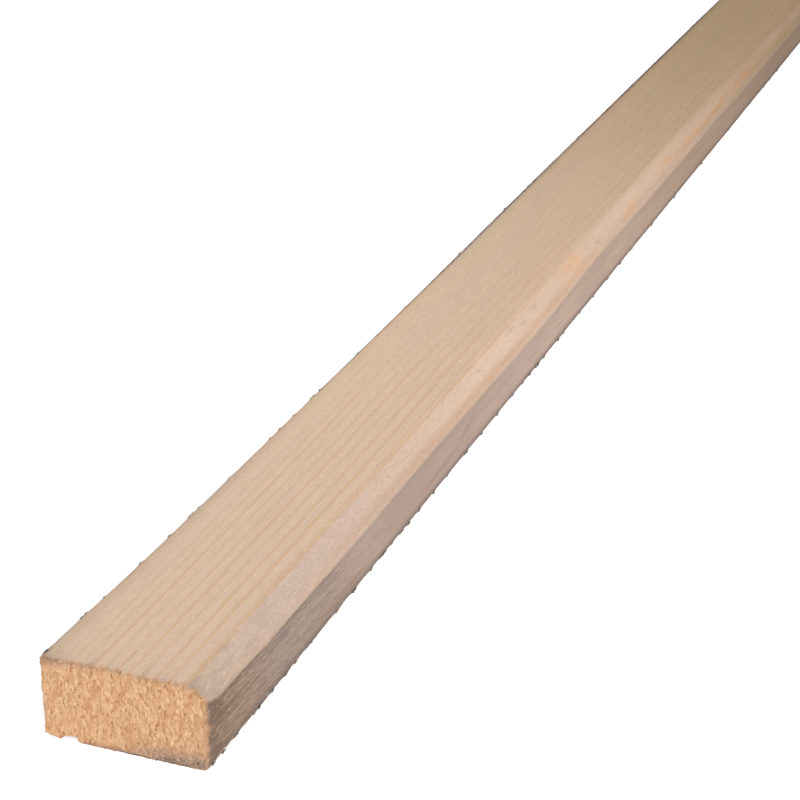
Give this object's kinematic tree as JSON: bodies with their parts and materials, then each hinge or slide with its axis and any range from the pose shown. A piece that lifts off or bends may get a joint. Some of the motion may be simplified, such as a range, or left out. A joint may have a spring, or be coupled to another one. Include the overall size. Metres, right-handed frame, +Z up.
{
  "type": "furring strip",
  "caption": "Sawn softwood furring strip, nominal one by two inches, with a natural wane along one long edge.",
  "frame": {"origin": "on the floor under the middle of the strip, half way along and half way across it, at its bounding box's bottom centre", "axes": "+X along the grain, from the front end that the picture shows to the far end; +Y across the broad face, towards the square edge and away from the wane; +Z up through the thickness"},
  "size_m": [2.4384, 0.0382, 0.0191],
  "materials": {
    "softwood": "planed face, rough-sawn edges and ends, unfinished"
  },
  "bodies": {
    "root": {"furring_strip": "softwood"}
  },
  "joints": []
}
